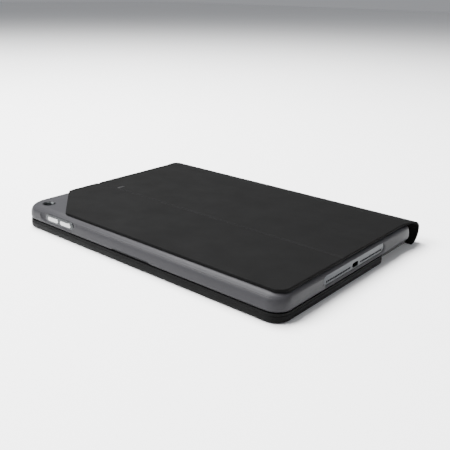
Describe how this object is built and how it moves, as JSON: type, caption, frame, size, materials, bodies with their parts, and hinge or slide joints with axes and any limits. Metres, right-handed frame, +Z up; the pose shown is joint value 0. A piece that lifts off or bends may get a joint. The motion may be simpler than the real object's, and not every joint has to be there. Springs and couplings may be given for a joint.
{
  "type": "tablet keyboard case",
  "caption": "Folio keyboard case for a ten-inch tablet: thin keyboard base, moulded tablet tray and two-panel cover that folds into a stand.",
  "frame": {"origin": "centre of the closed case's footprint, on the surface it lies on", "axes": "+X along the long side towards the end with the slot, +Y from the free edge to the spine, +Z up"},
  "size_m": [0.2446, 0.1818, 0.0201],
  "materials": {
    "soft_skin": "matt black grained polyurethane skin",
    "black_plastic": "matt moulded plastic",
    "deck_plastic": "fine spark-eroded plastic, dark grey",
    "dock_rubber": "matt rubber strip",
    "magnet": "nickel-plated magnet",
    "steel": "plain steel",
    "membrane": "printed polyester film",
    "dome_rubber": "translucent silicone",
    "white_plastic": "moulded acetal",
    "circuit_board": "green solder mask",
    "foil": "laminated pouch foil",
    "light_pipe": "clear light pipe",
    "board": "stiffener board",
    "switch_plastic": "matt plastic",
    "key_plastic": "matt keycap plastic",
    "tray_plastic": "satin graphite-grey moulded plastic",
    "lining": "short microfibre nap",
    "ring_metal": "satin anodised",
    "bright_metal": "bright anodised",
    "grille_metal": "satin anodised grey",
    "cover_skin": "fine-grained charcoal polyurethane",
    "badge_plastic": "plain blank badge",
    "spine_skin": "flexible charcoal spine fabric"
  },
  "bodies": {
    "keyboard_base": {"base_skin": "soft_skin", "base_shell": "black_plastic", "deck": "deck_plastic", "rim_frame": "deck_plastic", "dock_strip": "dock_rubber", "dock_magnets": "magnet", "key_plate": "steel", "key_membrane": "membrane", "rubber_domes": "dome_rubber", "scissor_links": "white_plastic", "controller_board": "circuit_board", "battery_cells": "foil", "ribbon_cable": "membrane", "charging_socket": "steel", "switch_body": "black_plastic", "status_light": "light_pipe", "case_screws": "steel", "closure_magnets": "magnet", "rear_flap_core": "board", "rear_flap_skin": "soft_skin"},
    "function_keys": {"function_keys": "key_plastic"},
    "number_keys": {"number_keys": "key_plastic"},
    "upper_letter_keys": {"upper_letter_keys": "key_plastic"},
    "home_letter_keys": {"home_letter_keys": "key_plastic"},
    "lower_letter_keys": {"lower_letter_keys": "key_plastic"},
    "modifier_keys": {"modifier_keys": "key_plastic"},
    "space_bar": {"space_bar": "key_plastic"},
    "return_key": {"return_key": "key_plastic"},
    "backspace_key": {"backspace_key": "key_plastic"},
    "tab_key": {"tab_key": "key_plastic"},
    "caps_lock_key": {"caps_lock_key": "key_plastic"},
    "left_shift_key": {"left_shift_key": "key_plastic"},
    "right_shift_key": {"right_shift_key": "key_plastic"},
    "left_arrow_key": {"left_arrow_key": "key_plastic"},
    "up_arrow_key": {"up_arrow_key": "key_plastic"},
    "down_arrow_key": {"down_arrow_key": "key_plastic"},
    "right_arrow_key": {"right_arrow_key": "key_plastic"},
    "power_switch": {"power_switch": "switch_plastic"},
    "edge_rods": {"edge_rods": "steel"},
    "tray": {"tray_frame": "tray_plastic", "tray_back": "tray_plastic", "tray_lining": "lining", "camera_ring": "ring_metal", "volume_bezel": "ring_metal", "end_grille": "grille_metal", "latch_plates": "steel", "upper_board": "board", "upper_skin": "cover_skin"},
    "volume_up_key": {"volume_up_key": "bright_metal"},
    "volume_down_key": {"volume_down_key": "bright_metal"},
    "sleep_key": {"sleep_key": "ring_metal"},
    "leg": {"leg_board": "board", "leg_skin": "cover_skin", "leg_lining": "lining", "leg_magnets": "magnet", "badge": "badge_plastic"},
    "spine_upper": {"spine_upper": "spine_skin"},
    "spine_middle": {"spine_middle": "spine_skin"},
    "spine_lower": {"spine_lower": "spine_skin"}
  },
  "joints": [
    {"name": "dock_slide", "type": "slide", "parent": "keyboard_base", "child": "edge_rods", "axis": [0, -0.9969, -0.0782], "range_m": [0, 0.06721]},
    {"name": "case_open", "type": "hinge", "parent": "edge_rods", "child": "tray", "pos_m": [0, 0.0815, 0.0125], "axis": [-1, 0, 0], "range_deg": [0, 116.31]},
    {"name": "cover_fold", "type": "hinge", "parent": "tray", "child": "leg", "pos_m": [0, -0.0184, 0.02], "axis": [1, 0, 0], "range_deg": [0, 51.58]},
    {"name": "spine_hinge", "type": "hinge", "parent": "leg", "child": "spine_upper", "pos_m": [0, 0.08364, 0.0191], "axis": [-1, 0, 0], "range_deg": [0, 77.27]},
    {"name": "spine_upper_bend", "type": "hinge", "parent": "spine_upper", "child": "spine_middle", "pos_m": [0, 0.0901, 0.01405], "axis": [1, 0, 0], "range_deg": [0, 52.01]},
    {"name": "spine_lower_bend", "type": "hinge", "parent": "spine_middle", "child": "spine_lower", "pos_m": [0, 0.0901, 0.00585], "axis": [1, 0, 0], "range_deg": [0, 52.01]},
    {"name": "function_keys_press", "type": "slide", "parent": "keyboard_base", "child": "function_keys", "axis": [0, 0, -1], "range_m": [0, 0.0014], "stiffness_N_per_m": 150, "springref_m": -0.002},
    {"name": "number_keys_press", "type": "slide", "parent": "keyboard_base", "child": "number_keys", "axis": [0, 0, -1], "range_m": [0, 0.0014], "stiffness_N_per_m": 150, "springref_m": -0.002},
    {"name": "upper_letter_keys_press", "type": "slide", "parent": "keyboard_base", "child": "upper_letter_keys", "axis": [0, 0, -1], "range_m": [0, 0.0014], "stiffness_N_per_m": 150, "springref_m": -0.002},
    {"name": "home_letter_keys_press", "type": "slide", "parent": "keyboard_base", "child": "home_letter_keys", "axis": [0, 0, -1], "range_m": [0, 0.0014], "stiffness_N_per_m": 150, "springref_m": -0.002},
    {"name": "lower_letter_keys_press", "type": "slide", "parent": "keyboard_base", "child": "lower_letter_keys", "axis": [0, 0, -1], "range_m": [0, 0.0014], "stiffness_N_per_m": 150, "springref_m": -0.002},
    {"name": "modifier_keys_press", "type": "slide", "parent": "keyboard_base", "child": "modifier_keys", "axis": [0, 0, -1], "range_m": [0, 0.0014], "stiffness_N_per_m": 150, "springref_m": -0.002},
    {"name": "space_bar_press", "type": "slide", "parent": "keyboard_base", "child": "space_bar", "axis": [0, 0, -1], "range_m": [0, 0.0014], "stiffness_N_per_m": 150, "springref_m": -0.002},
    {"name": "return_key_press", "type": "slide", "parent": "keyboard_base", "child": "return_key", "axis": [0, 0, -1], "range_m": [0, 0.0014], "stiffness_N_per_m": 150, "springref_m": -0.002},
    {"name": "backspace_key_press", "type": "slide", "parent": "keyboard_base", "child": "backspace_key", "axis": [0, 0, -1], "range_m": [0, 0.0014], "stiffness_N_per_m": 150, "springref_m": -0.002},
    {"name": "tab_key_press", "type": "slide", "parent": "keyboard_base", "child": "tab_key", "axis": [0, 0, -1], "range_m": [0, 0.0014], "stiffness_N_per_m": 150, "springref_m": -0.002},
    {"name": "caps_lock_key_press", "type": "slide", "parent": "keyboard_base", "child": "caps_lock_key", "axis": [0, 0, -1], "range_m": [0, 0.0014], "stiffness_N_per_m": 150, "springref_m": -0.002},
    {"name": "left_shift_key_press", "type": "slide", "parent": "keyboard_base", "child": "left_shift_key", "axis": [0, 0, -1], "range_m": [0, 0.0014], "stiffness_N_per_m": 150, "springref_m": -0.002},
    {"name": "right_shift_key_press", "type": "slide", "parent": "keyboard_base", "child": "right_shift_key", "axis": [0, 0, -1], "range_m": [0, 0.0014], "stiffness_N_per_m": 150, "springref_m": -0.002},
    {"name": "left_arrow_key_press", "type": "slide", "parent": "keyboard_base", "child": "left_arrow_key", "axis": [0, 0, -1], "range_m": [0, 0.0014], "stiffness_N_per_m": 150, "springref_m": -0.002},
    {"name": "up_arrow_key_press", "type": "slide", "parent": "keyboard_base", "child": "up_arrow_key", "axis": [0, 0, -1], "range_m": [0, 0.0014], "stiffness_N_per_m": 150, "springref_m": -0.002},
    {"name": "down_arrow_key_press", "type": "slide", "parent": "keyboard_base", "child": "down_arrow_key", "axis": [0, 0, -1], "range_m": [0, 0.0014], "stiffness_N_per_m": 150, "springref_m": -0.002},
    {"name": "right_arrow_key_press", "type": "slide", "parent": "keyboard_base", "child": "right_arrow_key", "axis": [0, 0, -1], "range_m": [0, 0.0014], "stiffness_N_per_m": 150, "springref_m": -0.002},
    {"name": "power_switch_slide", "type": "slide", "parent": "keyboard_base", "child": "power_switch", "axis": [0, 1, 0], "range_m": [0, 0.0025]},
    {"name": "volume_up_press", "type": "slide", "parent": "tray", "child": "volume_up_key", "axis": [0, 1, 0], "range_m": [0, 0.00035], "stiffness_N_per_m": 800, "springref_m": -0.0005},
    {"name": "volume_down_press", "type": "slide", "parent": "tray", "child": "volume_down_key", "axis": [0, 1, 0], "range_m": [0, 0.00035], "stiffness_N_per_m": 800, "springref_m": -0.0005},
    {"name": "sleep_press", "type": "slide", "parent": "tray", "child": "sleep_key", "axis": [1, 0, 0], "range_m": [0, 0.0004], "stiffness_N_per_m": 800, "springref_m": -0.0005}
  ],
  "couplings": [
    {"joint": "dock_slide", "follows": "case_open", "m_per_rad": 0.033105},
    {"joint": "cover_fold", "follows": "case_open", "ratio": 0.44343},
    {"joint": "spine_hinge", "follows": "case_open", "ratio": 0.66425},
    {"joint": "spine_upper_bend", "follows": "case_open", "ratio": 0.44706},
    {"joint": "spine_lower_bend", "follows": "case_open", "ratio": 0.44706}
  ]
}
